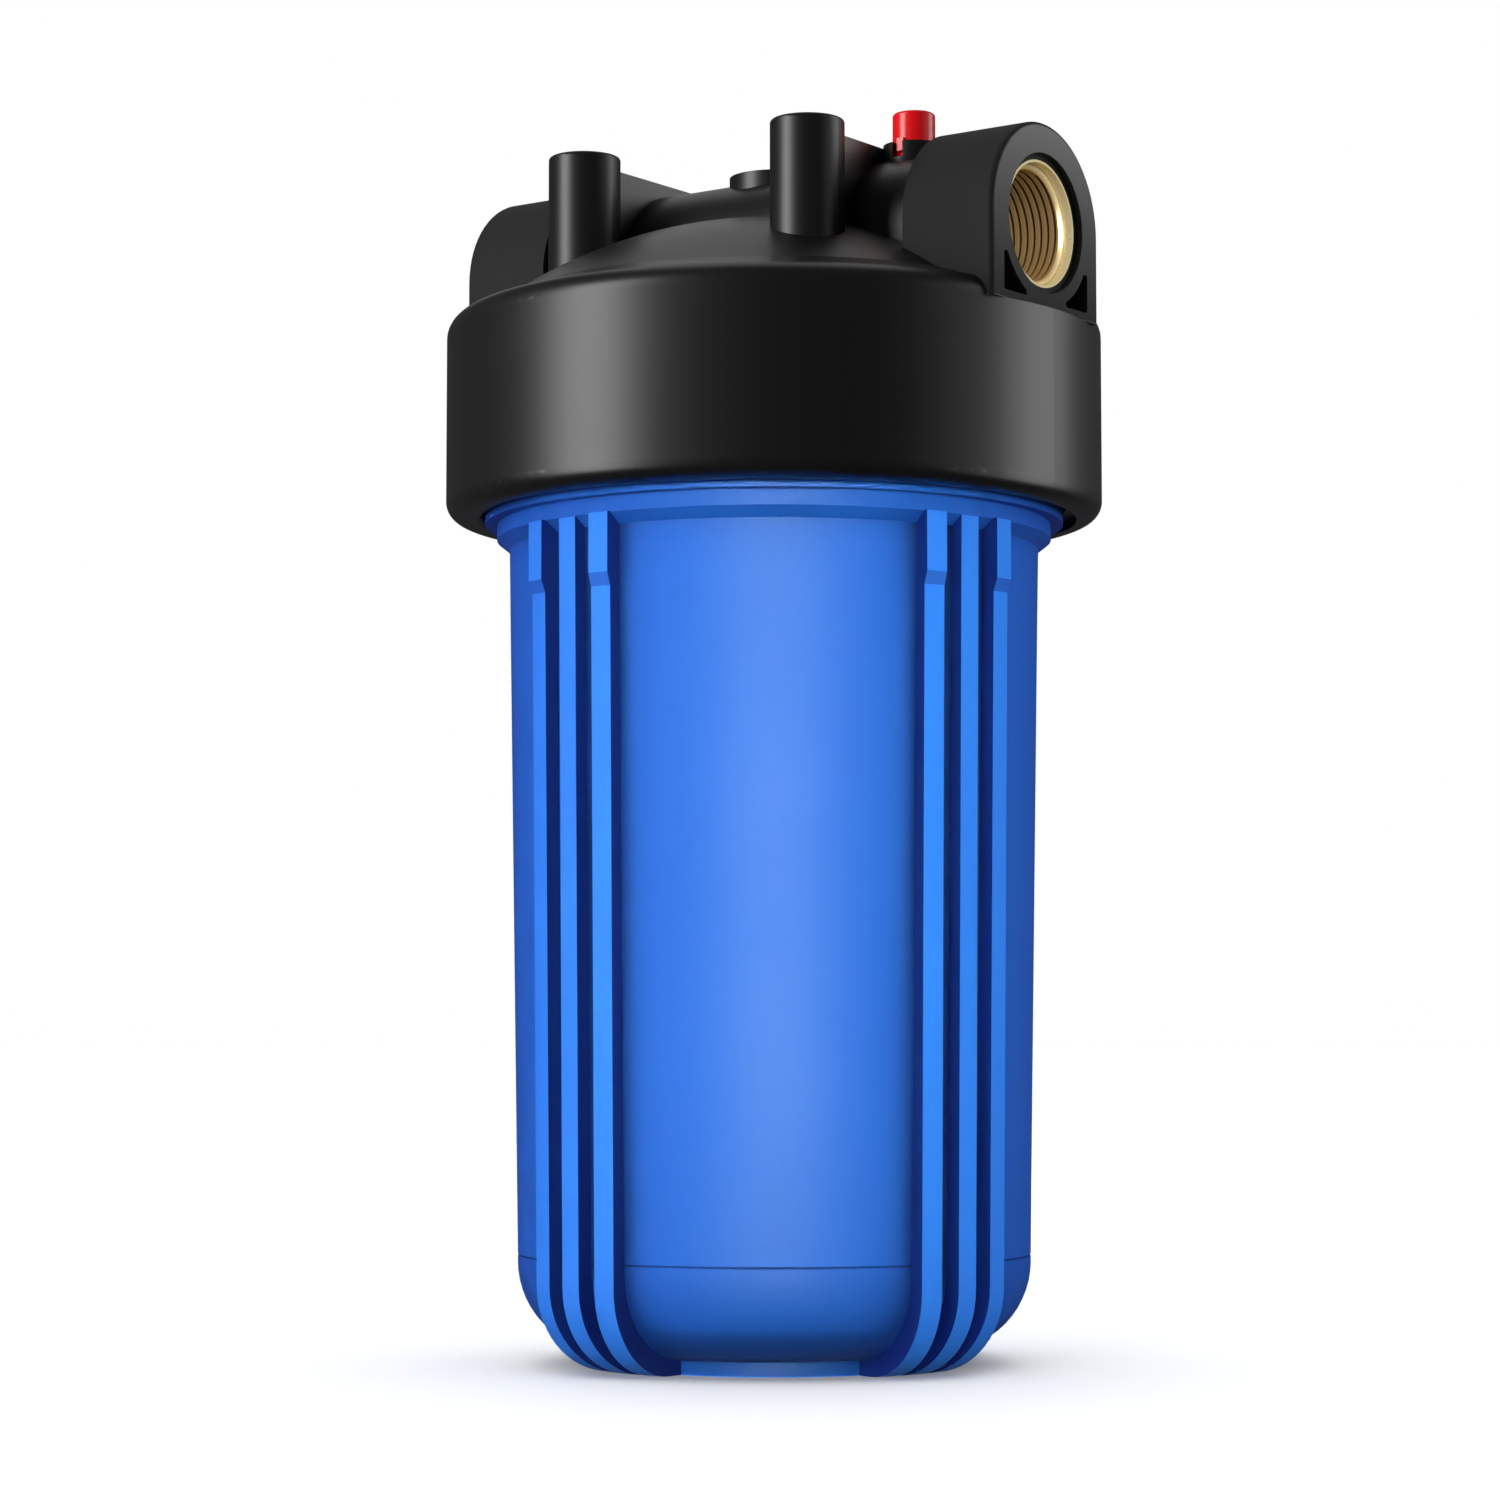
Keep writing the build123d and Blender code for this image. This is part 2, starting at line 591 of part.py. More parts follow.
with BuildPart() as sump:
    # Foot, knuckle, tapered body, stepped rings and threaded collar
    with BuildSketch(Plane.XZ):
        with BuildLine():
            foot = Polyline(
                (FOOT_RECESS_R, 0),
                (FOOT_R, 0),
                (FOOT_R, BODY_BOTTOM),
                (knuckle_centre[0], BODY_BOTTOM),
            )
            knuckle = RadiusArc(
                foot @ 1, (BODY_BOTTOM_R, knuckle_centre[1]), -KNUCKLE_R
            )
            Polyline(
                knuckle @ 1,
                (BODY_BOTTOM_R, SEAM_HEIGHT - SEAM_HALF_HEIGHT),
                (BODY_BOTTOM_R - SEAM_DEPTH, SEAM_HEIGHT),
                (BODY_BOTTOM_R, SEAM_HEIGHT + SEAM_HALF_HEIGHT),
                (BODY_TOP_R, BODY_TOP),
                (LOWER_RING_R, LOWER_RING_BOTTOM),
                (LOWER_RING_R, COLLAR_BOTTOM),
                (SUMP_COLLAR_R, COLLAR_BOTTOM),
                (SUMP_COLLAR_R, RIM_HEIGHT),
                (0, RIM_HEIGHT),
                (0, FOOT_RECESS_DEPTH),
                (FOOT_RECESS_R, FOOT_RECESS_DEPTH),
                (FOOT_RECESS_R, 0),
            )
        make_face()
    revolve(axis=Axis.Z)

    # Rib groups: two padded ribs with a plain one between them
    for group_angle in RIB_GROUP_ANGLES:
        for step in (-1, 0, 1):
            angle = radians(group_angle + step * RIB_STEP_ANGLE)
            rib_plane = Plane(
                (0, 0, 0), x_dir=(cos(angle), sin(angle), 0), z_dir=(sin(angle), -cos(angle), 0)
            )
            with BuildSketch(rib_plane):
                add(rib_profile(RIB_TOP_R if step == 0 else RIB_PAD_R))
            extrude(amount=RIB_THICKNESS / 2, both=True)

    # Bowl inside, with its rounded floor
    with BuildSketch(Plane.XZ):
        with BuildLine():
            floor_line = Line((0, SUMP_FLOOR), (inner_bottom_r - SUMP_INNER_KNUCKLE_R, SUMP_FLOOR))
            bowl_corner = RadiusArc(
                floor_line @ 1,
                (inner_bottom_r, SUMP_FLOOR + SUMP_INNER_KNUCKLE_R),
                -SUMP_INNER_KNUCKLE_R,
            )
            Polyline(
                bowl_corner @ 1,
                (inner_top_r, BODY_TOP),
                (SUMP_COLLAR_BORE_R, COLLAR_BOTTOM),
                (SUMP_COLLAR_BORE_R, RIM_HEIGHT),
                (0, RIM_HEIGHT),
                (0, SUMP_FLOOR),
            )
        make_face()
    revolve(axis=Axis.Z, mode=Mode.SUBTRACT)

    # Cartridge seat: a knife-edge ring round a locating post
    seat_tip = CARTRIDGE_BOTTOM - SEAL_GAP
    with BuildSketch(Plane.XZ):
        with BuildLine():
            Polyline(
                (0, SUMP_FLOOR - SEAT_ROOT_DEPTH),
                (KNIFE_R + 2 * KNIFE_HALF_WIDTH, SUMP_FLOOR - SEAT_ROOT_DEPTH),
                (KNIFE_R + 2 * KNIFE_HALF_WIDTH, SUMP_FLOOR),
                (KNIFE_R, seat_tip),
                (KNIFE_R - 2 * KNIFE_HALF_WIDTH, SUMP_FLOOR),
                (SEAT_POST_R, SUMP_FLOOR),
                (SEAT_POST_R, SEAT_POST_TOP - SEAT_POST_R / 4),
                (SEAT_POST_R * 3 / 4, SEAT_POST_TOP),
                (0, SEAT_POST_TOP),
                close=True,
            )
        make_face()
    revolve(axis=Axis.Z)

    # Seal groove in the rim, and the external thread
    with BuildSketch(Plane.XY.offset(RIM_HEIGHT)):
        Circle(RING_GROOVE_R[1])
        Circle(RING_GROOVE_R[0], mode=Mode.SUBTRACT)
    extrude(amount=-RING_GROOVE_DEPTH, mode=Mode.SUBTRACT)
    add(thread_ridge)
save(sump, "sump")

with BuildPart() as sump_o_ring:
    with Locations((0, 0, RIM_HEIGHT - RING_GROOVE_DEPTH + SUMP_RING_WIRE_R)):
        Torus(SUMP_RING_R, SUMP_RING_WIRE_R)
save(sump_o_ring, "sump_o_ring")

# ---- Cartridge ----------------------------------------------------------------------------------
with BuildPart() as cartridge_bottom_gasket:
    add(ring_section(END_HOLE_R, GASKET_R, CARTRIDGE_BOTTOM, CARTRIDGE_BOTTOM + GASKET_THICKNESS))
save(cartridge_bottom_gasket, "cartridge_bottom_gasket")

with BuildPart() as cartridge_top_gasket:
    add(ring_section(END_HOLE_R, GASKET_R, CARTRIDGE_TOP - GASKET_THICKNESS, CARTRIDGE_TOP))
save(cartridge_top_gasket, "cartridge_top_gasket")


def end_cap(plate_height, inward):
    """A moulded end cap whose lips reach inward over the pleats and inside the core."""
    lip_end = plate_height + inward * (END_PLATE + END_LIP_HEIGHT)
    plate_end = plate_height + inward * END_PLATE
    with BuildPart() as cap:
        with BuildSketch(Plane.XZ):
            with BuildLine():
                Polyline(
                    (END_HOLE_R, plate_height),
                    (CARTRIDGE_R, plate_height),
                    (CARTRIDGE_R, lip_end),
                    (CARTRIDGE_R - END_LIP_THICKNESS, lip_end),
                    (CARTRIDGE_R - END_LIP_THICKNESS, plate_end),
                    (CORE_BORE_R, plate_end),
                    (CORE_BORE_R, lip_end),
                    (END_HOLE_R, lip_end),
                    close=True,
                )
            make_face()
        revolve(axis=Axis.Z)
    return cap.part


with BuildPart() as cartridge_bottom_cap:
    add(end_cap(CARTRIDGE_BOTTOM + GASKET_THICKNESS, 1))
save(cartridge_bottom_cap, "cartridge_bottom_cap")

with BuildPart() as cartridge_top_cap:
    add(end_cap(CARTRIDGE_TOP - GASKET_THICKNESS, -1))
save(cartridge_top_cap, "cartridge_top_cap")

with BuildPart() as cartridge_core:
    add(ring_section(CORE_BORE_R, CORE_R, MEDIA_BOTTOM, MEDIA_TOP))
    # Flow slots, in rows that turn by half a step from one row to the next
    slot_span = MEDIA_TOP - MEDIA_BOTTOM - 2 * (END_LIP_HEIGHT + CORE_SLOT_HEIGHT)
    for row in range(CORE_SLOT_ROWS):
        slot_rise = slot_span * row / (CORE_SLOT_ROWS - 1)
        slot_height = MEDIA_BOTTOM + END_LIP_HEIGHT + CORE_SLOT_HEIGHT + slot_rise
        for turn in (0, 90):
            slot_turn = turn + 45 * (row % 2)
            slot_plane = Plane.XZ.rotated((0, 0, slot_turn)).shift_origin((0, 0, slot_height))
            with BuildSketch(slot_plane):
                RectangleRounded(CORE_SLOT_WIDTH, CORE_SLOT_HEIGHT, CORE_SLOT_WIDTH / 3)
            extrude(amount=2 * CORE_R, both=True, mode=Mode.SUBTRACT)
save(cartridge_core, "cartridge_core")


def pleat_points(shift):
    """The zigzag of the pleats, moved out by a shift along the radius."""
    points = []
    for index in range(2 * PLEAT_COUNT):
        angle = pi * index / PLEAT_COUNT
        radius = (PLEAT_OUTER_R if index % 2 else PLEAT_INNER_R) + shift
        points.append((radius * cos(angle), radius * sin(angle)))
    return points


with BuildPart() as pleated_media:
    with BuildSketch(Plane.XY.offset(MEDIA_BOTTOM)):
        with BuildLine():
            Polyline(*pleat_points(0), close=True)
        make_face()
        with BuildLine():
            Polyline(*pleat_points(-PLEAT_THICKNESS), close=True)
        make_face(mode=Mode.SUBTRACT)
    extrude(amount=MEDIA_TOP - MEDIA_BOTTOM)
save(pleated_media, "pleated_media")

# ---- Vent valve ---------------------------------------------------------------------------------
with BuildPart() as vent_button:
    # Cap with its spring pocket, the stem down through the collar, and the guide tab
    with BuildSketch(Plane.XY.offset(BUTTON_BOTTOM)):
        with Locations((VENT_X, 0)):
            Circle(BUTTON_R)
    extrude(amount=BUTTON_TOP - BUTTON_BOTTOM)
    fillet(vent_button.faces().sort_by(Axis.Z)[-1].edges(), BUTTON_EDGE_R)
    with BuildSketch(Plane.XY.offset(TAB_BOTTOM)):
        with Locations((VENT_X, -TAB_R / 2)):
            Rectangle(TAB_WIDTH, TAB_R)
    extrude(amount=TAB_TOP - TAB_BOTTOM)
    with BuildSketch(Plane.XY.offset(BUTTON_BOTTOM)):
        with Locations((VENT_X, 0)):
            Circle(BUTTON_POCKET_R)
    extrude(amount=BUTTON_POCKET_TOP - BUTTON_BOTTOM, mode=Mode.SUBTRACT)
    with BuildSketch(Plane.XY.offset(STEM_BOTTOM)):
        with Locations((VENT_X, 0)):
            Circle(STEM_R)
    extrude(amount=BUTTON_POCKET_TOP - STEM_BOTTOM)
    with BuildSketch(Plane.XY.offset(STEM_BOTTOM)):
        with Locations((VENT_X, 0)):
            Circle(SCREW_HOLE_R)
    extrude(amount=SCREW_HOLE_TOP - STEM_BOTTOM, mode=Mode.SUBTRACT)
save(vent_button, "vent_button")

with BuildPart() as vent_spring:
    spring_height = BUTTON_POCKET_TOP - VENT_FLOOR - 2 * (SPRING_WIRE_R + SPRING_GAP)
    spring_bottom = VENT_FLOOR + SPRING_WIRE_R + SPRING_GAP
    with BuildLine() as coil:
        Helix(spring_height / SPRING_TURNS, spring_height, SPRING_R, center=(VENT_X, 0, spring_bottom))
    with BuildSketch(Plane(coil.line @ 0, x_dir=(1, 0, 0), z_dir=coil.line % 0)):
        Circle(SPRING_WIRE_R)
    sweep(path=coil.line, is_frenet=True)
save(vent_spring, "vent_spring")

with BuildPart() as vent_o_ring:
    with Locations((VENT_X, 0, STEM_BOTTOM + VENT_RING_WIRE_R)):
        Torus(VENT_RING_R, VENT_RING_WIRE_R)
save(vent_o_ring, "vent_o_ring")

with BuildPart() as vent_washer:
    with BuildSketch(Plane.XY.offset(STEM_BOTTOM - WASHER_THICKNESS)):
        with Locations((VENT_X, 0)):
            Circle(WASHER_R)
            Circle(WASHER_HOLE_R, mode=Mode.SUBTRACT)
    extrude(amount=WASHER_THICKNESS)
save(vent_washer, "vent_washer")

with BuildPart() as vent_screw:
    head_top = STEM_BOTTOM - WASHER_THICKNESS
    with BuildSketch(Plane.XY.offset(head_top - SCREW_HEAD_HEIGHT)):
        with Locations((VENT_X, 0)):
            Circle(SCREW_HEAD_R)
    extrude(amount=SCREW_HEAD_HEIGHT)
    fillet(vent_screw.faces().sort_by(Axis.Z)[0].edges(), SCREW_HEAD_HEIGHT / 3)
    with BuildSketch(Plane.XY.offset(head_top)):
        with Locations((VENT_X, 0)):
            Circle(SCREW_R)
    extrude(amount=SCREW_TIP - head_top)
    with BuildSketch(Plane.XY.offset(head_top - SCREW_HEAD_HEIGHT)):
        with Locations((VENT_X, 0)):
            Rectangle(2 * SCREW_HEAD_R, SCREW_SLOT_WIDTH)
            Rectangle(SCREW_SLOT_WIDTH, 2 * SCREW_HEAD_R)
    extrude(amount=SCREW_SLOT_DEPTH, mode=Mode.SUBTRACT)
save(vent_screw, "vent_screw")
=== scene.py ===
"""Looks for the cartridge filter housing: materials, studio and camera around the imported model."""
import json
from math import cos, radians, sin

import bpy
from mathutils import Euler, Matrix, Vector

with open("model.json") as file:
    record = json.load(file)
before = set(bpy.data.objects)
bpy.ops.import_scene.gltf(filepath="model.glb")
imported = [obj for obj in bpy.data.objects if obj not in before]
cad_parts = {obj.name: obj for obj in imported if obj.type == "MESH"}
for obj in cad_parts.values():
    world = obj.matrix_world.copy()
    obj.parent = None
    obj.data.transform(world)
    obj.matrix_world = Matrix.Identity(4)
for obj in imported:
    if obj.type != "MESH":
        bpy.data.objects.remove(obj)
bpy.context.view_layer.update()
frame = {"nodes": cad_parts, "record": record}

# ---- Camera: below the middle of the housing, looking slightly up at it --------------------------
CAMERA_AZIMUTH = radians(35.35)
CAMERA_DISTANCE = 1.0620
CAMERA_HEIGHT = 0.0896
CAMERA_PITCH = radians(4.3305)
CAMERA_YAW = radians(0.3622)
LENS_MM = 91.234
SENSOR_MM = 36.0


def add_camera():
    data = bpy.data.cameras.new("camera")
    data.lens = LENS_MM
    data.sensor_width = SENSOR_MM
    camera = bpy.data.objects.new("camera", data)
    bpy.context.scene.collection.objects.link(camera)
    camera.location = (
        CAMERA_DISTANCE * sin(CAMERA_AZIMUTH),
        -CAMERA_DISTANCE * cos(CAMERA_AZIMUTH),
        CAMERA_HEIGHT,
    )
    camera.rotation_euler = Euler((radians(90) + CAMERA_PITCH, 0, CAMERA_AZIMUTH + CAMERA_YAW))
    bpy.context.scene.camera = camera


# ---- Driving sizes of the housing that the materials follow, in metres ---------------------------
# Sump: the outer faces of the ribs, upright with a rounded corner at the foot, and their pads
RIB_R = 0.07545
RIB_CORNER_R = 0.0239
RIB_FACE_DEPTH = 0.0003
RIB_TOP = 0.2284
PAD_BOTTOM = 0.18

# Sump: the slanted underside of the lower ring, from the top of the body outwards
BODY_TOP = 0.2256
RING_SLANT_R = 0.0744
RING_SLANT = 1.268

# Sump: the seam line, and the heights up to which the painted shade at the foot and the lift of the
# crevice shade fade
SEAM_HEIGHT = 0.0301
FOOT_HEIGHT = 0.008
FOOT_FADE_TOP = 0.03

# Cap: the two port bosses along X, and the heights between which their faces turn glossier
BOSS_BOTTOM = 0.2849
BOSS_INNER_X = 0.0616
BOSS_FACE_X = 0.0896
BOSS_HALF_WIDTH = 0.0277
FACE_FADE_BOTTOM = 0.285
FACE_FADE_TOP = 0.335

# Brass inserts: the outer end of the thread and the opening, along X
THREAD_END_X = 0.0846
OPENING_X = 0.0855

# ---- Colours, gloss and texture ------------------------------------------------------------------
BLACK = (0.005, 0.005, 0.0053)
BLUE = (0.017, 0.116, 0.62)
# Painted highlight on the outer faces of the sump's ribs
RIB_HIGHLIGHT_BLUE = (0.03, 0.215, 0.92)
# Painted shade in the sump's crevices
CREVICE_SHADE_BLUE = (0.002, 0.012, 0.12)
# Painted shade on the rib sides and under the seam
SIDE_SHADE_BLUE = (0.003, 0.018, 0.2)
RED = (0.75, 0.004, 0.008)
WHITE = (0.75, 0.76, 0.74)
RUBBER = (0.012, 0.012, 0.012)
POLYESTER = (0.82, 0.84, 0.82)
BRASS = (0.92, 0.78, 0.44)
# Painted shade inside the threaded bores of the brass inserts
BORE_SHADE_BRASS = (0.5, 0.32, 0.13)
GROOVE_BRASS = (0.12, 0.06, 0.015)
STEEL = (0.62, 0.62, 0.6)
GROOVE_STEEL = (0.2, 0.2, 0.19)
FLOOR_WHITE = (0.9, 0.9, 0.9)
FLOOR_GREY = (0.88, 0.885, 0.89)

# Roughness, from the glossiest to the dullest place, or how far it drifts below and above its mean
SATIN_BLACK = (0.35, 0.38)
MATT_BLACK = (0.8, 0.84)
SATIN_BLUE = (0.54, 0.58)
MOULDED_DRIFT = (-0.02, 0.03)
MACHINED_DRIFT = (-0.03, 0.04)

# Shares of painted shade on the sump: how far its painted crevice shade is lifted on the ring and the
# foot, and how dark its painted shade goes at its seam and its foot
RING_OPENNESS = 0.85
FOOT_OPENNESS = 0.7
SEAM_SHADE = 0.12
FLOOR_SHADE = 0.25

# Noise scales, per metre, with the span in which most of a noise lies
GRAIN_SCALE = 2600.0
MACHINED_SCALE = 900.0
BLOTCH_SCALE = 120.0
SLOW_SCALE = 18.0
FLOOR_SCALE = 1.5
NOISE_ROUGHNESS = 0.55
NOISE_LOW = 0.3
NOISE_HIGH = 0.7

# Depths of relief, and how far round a point a crevice is looked for, in metres
GRAIN_DEPTH = 0.00005
MACHINED_DEPTH = 0.00003
RIB_CREVICE = 0.014
THREAD_CREVICE = 0.0016
CREVICE_SAMPLES = 12

# Spans over which a mask runs: from shut to open in a crevice, from a rib's outer face to its side,
# and from facing down to facing sideways under a pad
RIB_OPEN_SPAN = (0.5, 0.98)
THREAD_OPEN_SPAN = (0.25, 0.85)
SIDE_SPAN = (0.35, 0.75)
UNDERSIDE_SPAN = (-0.3, -0.1)


# ---- Materials -----------------------------------------------------------------------------------
class Shader:
    """A material's node tree with its Principled BSDF, built one node at a time."""

    def __init__(self, name, color, roughness, metallic=0.0):
        self.material = bpy.data.materials.new(name)
        self.material.use_nodes = True
        self.nodes = self.material.node_tree.nodes
        self.links = self.material.node_tree.links
        self.bsdf = self.nodes["Principled BSDF"]
        self.bsdf.inputs["Base Color"].default_value = (*color, 1)
        self.bsdf.inputs["Roughness"].default_value = roughness
        self.bsdf.inputs["Metallic"].default_value = metallic
        self.material.diffuse_color = (*color, 1)

    def node(self, kind, **settings):
        made = self.nodes.new(kind)
        for key, value in settings.items():
            setattr(made, key, value)
        return made

    def feed(self, socket, value):
        """Link a node's output to a socket, or set the socket to a plain value."""
        if isinstance(value, bpy.types.NodeSocket):
            self.links.new(value, socket)
        else:
            socket.default_value = value

    def parts(self, coordinate):
        """X, Y and Z of one of the texture coordinates."""
        coordinates = self.node("ShaderNodeTexCoord")
        parts = self.node("ShaderNodeSeparateXYZ")
        self.links.new(coordinates.outputs[coordinate], parts.inputs["Vector"])
        return parts.outputs["X"], parts.outputs["Y"], parts.outputs["Z"]

    def place(self):
        """X, Y and Z of the shaded point, in metres, in the piece's own frame."""
        return self.parts("Object")

    def facing(self, x, y, radius):
        """How far the surface faces sideways, round the upright axis, and how far it faces up."""
        normal_x, normal_y, normal_z = self.parts("Normal")
        along = self.math("MULTIPLY", normal_y, x)
        back = self.math("MULTIPLY", normal_x, y)
        sideways = self.math("DIVIDE", self.math("SUBTRACT", along, back), radius)
        return self.math("ABSOLUTE", sideways), normal_z

    def math(self, operation, value, other=0.0):
        made = self.node("ShaderNodeMath", operation=operation)
        self.feed(made.inputs[0], value)
        self.feed(made.inputs[1], other)
        return made.outputs["Value"]

    def above(self, value, limit):
        return self.math("GREATER_THAN", value, limit)

    def below(self, value, limit):
        return self.math("LESS_THAN", value, limit)

    def larger(self, value, other):
        return self.math("MAXIMUM", value, other)

    def product(self, first, *others):
        """The values multiplied, which for masks is 1 where all of them are 1."""
        result = first
        for value in others:
            result = self.math("MULTIPLY", result, value)
        return result

    def length(self, value, other):
        """The length of the plane vector with these two components."""
        vector = self.node("ShaderNodeCombineXYZ")
        self.feed(vector.inputs["X"], value)
        self.feed(vector.inputs["Y"], other)
        measured = self.node("ShaderNodeVectorMath", operation="LENGTH")
        self.links.new(vector.outputs["Vector"], measured.inputs[0])
        return measured.outputs["Value"]

    def noise(self, scale, detail):
        coordinates = self.node("ShaderNodeTexCoord")
        noise = self.node("ShaderNodeTexNoise")
        noise.inputs["Scale"].default_value = scale
        noise.inputs["Detail"].default_value = detail
        noise.inputs["Roughness"].default_value = NOISE_ROUGHNESS
        self.links.new(coordinates.outputs["Object"], noise.inputs["Vector"])
        return noise.outputs["Fac"]

    def slow_noise(self):
        """A noise for the slow changes over a whole moulding."""
        return self.noise(SLOW_SCALE, detail=2.0)

    def spread(self, value, low, high, start=NOISE_LOW, end=NOISE_HIGH):
        """Map a value that runs from start to end onto low to high, held at both ends."""
        mapped = self.node("ShaderNodeMapRange")
        mapped.inputs["From Min"].default_value = start
        mapped.inputs["From Max"].default_value = end
        self.feed(mapped.inputs["To Min"], low)
        self.feed(mapped.inputs["To Max"], high)
        self.links.new(value, mapped.inputs["Value"])
        return mapped.outputs["Result"]

    def openness(self, distance, start, end):
        """0 deep in a groove or crevice, 1 on open surface."""
        occlusion = self.node("ShaderNodeAmbientOcclusion", samples=CREVICE_SAMPLES)
        occlusion.inputs["Distance"].default_value = distance
        return self.spread(occlusion.outputs["AO"], 0.0, 1.0, start, end)

    def mix(self, factor, color_a, color_b):
        """One colour where the factor is 0 and the other where it is 1."""
        mix = self.node("ShaderNodeMix", data_type="RGBA")
        for socket, color in (("A", color_a), ("B", color_b)):
            plain = not isinstance(color, bpy.types.NodeSocket)
            self.feed(mix.inputs[socket], (*color, 1) if plain else color)
        self.links.new(factor, mix.inputs["Factor"])
        return mix.outputs["Result"]

    def blotched(self, noise, color, share):
        """A colour that drifts with a noise towards a share of itself."""
        return self.mix(self.spread(noise, 0.0, 1.0), color, tuple(part * share for part in color))

    def color(self, value):
        self.links.new(value, self.bsdf.inputs["Base Color"])

    def roughness(self, value):
        self.links.new(value, self.bsdf.inputs["Roughness"])

    def bump(self, height, strength, distance):
        bump = self.node("ShaderNodeBump")
        bump.inputs["Strength"].default_value = strength
        bump.inputs["Distance"].default_value = distance
        self.links.new(height, bump.inputs["Height"])
        self.links.new(bump.outputs["Normal"], self.bsdf.inputs["Normal"])

    def grain(self, strength):
        """The fine relief of a moulded surface."""
        self.bump(self.noise(GRAIN_SCALE, detail=2.0), strength, GRAIN_DEPTH)


def moulded_plastic(name, color, roughness, grain):
    """Moulded plastic or rubber: a fine grain, and slow slight changes of gloss and shade."""
    shader = Shader(name, color, roughness)
    slow = shader.slow_noise()
    shader.roughness(shader.spread(slow, *(roughness + drift for drift in MOULDED_DRIFT)))
    shader.color(shader.blotched(slow, color, share=0.94))
    shader.grain(grain)
    return shader.material


def boss_mask(shader):
    """1 on the cap's two port bosses; their end faces fade from 1 at the bottom to 0 higher up."""
    x, y, z = shader.place()
    reach = shader.math("ABSOLUTE", x)
    in_width = shader.below(shader.math("ABSOLUTE", y), BOSS_HALF_WIDTH)
    behind_face = shader.below(reach, BOSS_FACE_X)
    low = shader.spread(z, 1.0, 0.0, FACE_FADE_BOTTOM, FACE_FADE_TOP)
    return shader.product(
        shader.above(z, BOSS_BOTTOM),
        shader.above(reach, BOSS_INNER_X),
        in_width,
        shader.larger(behind_face, low),
    )


def black_plastic():
    """The cap's plastic: satin on the skirt, posts and tube, and matt on the two port bosses."""
    shader = Shader("black_polypropylene", BLACK, roughness=0.34)
    slow = shader.slow_noise()
    satin = shader.spread(slow, *SATIN_BLACK)
    matt = shader.spread(slow, *MATT_BLACK)
    shader.roughness(shader.spread(boss_mask(shader), satin, matt, 0.0, 1.0))
    shader.color(shader.blotched(slow, BLACK, share=0.9))
    shader.grain(strength=0.03)
    return shader.material


def rib_highlight_mask(shader, radius, z):
    """1 on the outer faces of the sump's ribs, which all lie on one outline; the painted highlight goes
    there.
    """
    outward = shader.larger(shader.math("SUBTRACT", radius, RIB_R - RIB_CORNER_R), 0.0)
    downward = shader.larger(shader.math("SUBTRACT", RIB_CORNER_R, z), 0.0)
    on_outline = shader.above(shader.length(outward, downward), RIB_CORNER_R - RIB_FACE_DEPTH)
    ring_r = shader.product(shader.math("SUBTRACT", z, BODY_TOP), RING_SLANT)
    off_ring = shader.above(radius, shader.math("ADD", ring_r, RING_SLANT_R))
    return shader.product(on_outline, off_ring, shader.below(z, RIB_TOP))


def crevice_shade_lift(shader, z):
    """How far the painted crevice shade is lifted on the sump's ring and foot, whatever lies close to
    them; the lift at the foot is painted light from the floor.
    """
    on_ring = shader.product(shader.above(z, BODY_TOP), RING_OPENNESS)
    on_foot = shader.spread(z, FOOT_OPENNESS, 0.0, 0.0, FOOT_FADE_TOP)
    return shader.larger(on_ring, on_foot)


def foot_shade(shader, z):
    """Painted shade under the sump's seam: more towards the foot, and less again at the floor, where it
    stands for painted light from the floor.
    """
    falling = shader.spread(z, FLOOR_SHADE, SEAM_SHADE, 0.0, SEAM_HEIGHT)
    rising = shader.spread(z, 0.0, FLOOR_SHADE, 0.0, FOOT_HEIGHT)
    return shader.product(shader.math("MINIMUM", falling, rising), shader.below(z, SEAM_HEIGHT))


def blue_plastic():
    """The sump's plastic, with a painted highlight on the outer faces of its ribs and painted shade
    between them.
    """
    shader = Shader("blue_polypropylene", BLUE, roughness=0.55)
    x, y, z = shader.place()
    radius = shader.length(x, y)
    sideways, upward = shader.facing(x, y, radius)
    # Painted shade in the crevices, lifted on the ring and the foot
    crevices = shader.openness(RIB_CREVICE, *RIB_OPEN_SPAN)
    wall = shader.mix(shader.larger(crevices, crevice_shade_lift(shader, z)), CREVICE_SHADE_BLUE, BLUE)
    # Painted shade under the seam, towards the foot
    wall = shader.mix(foot_shade(shader, z), wall, SIDE_SHADE_BLUE)
    # Painted shade on the pads' undersides: they keep the plain blue instead of the painted highlight
    facing_down = shader.spread(upward, 1.0, 0.0, *UNDERSIDE_SPAN)
    pad_underside_shade = shader.product(shader.above(z, PAD_BOTTOM), facing_down)
    faces = shader.mix(pad_underside_shade, RIB_HIGHLIGHT_BLUE, BLUE)
    # Painted highlight on the outer faces of the ribs
    outside = shader.mix(rib_highlight_mask(shader, radius, z), wall, faces)
    # Painted shade on the rib sides
    on_side = shader.spread(sideways, 0.0, 1.0, *SIDE_SPAN)
    shader.color(shader.mix(on_side, outside, SIDE_SHADE_BLUE))
    shader.roughness(shader.spread(shader.slow_noise(), *SATIN_BLUE))
    shader.grain(strength=0.02)
    return shader.material


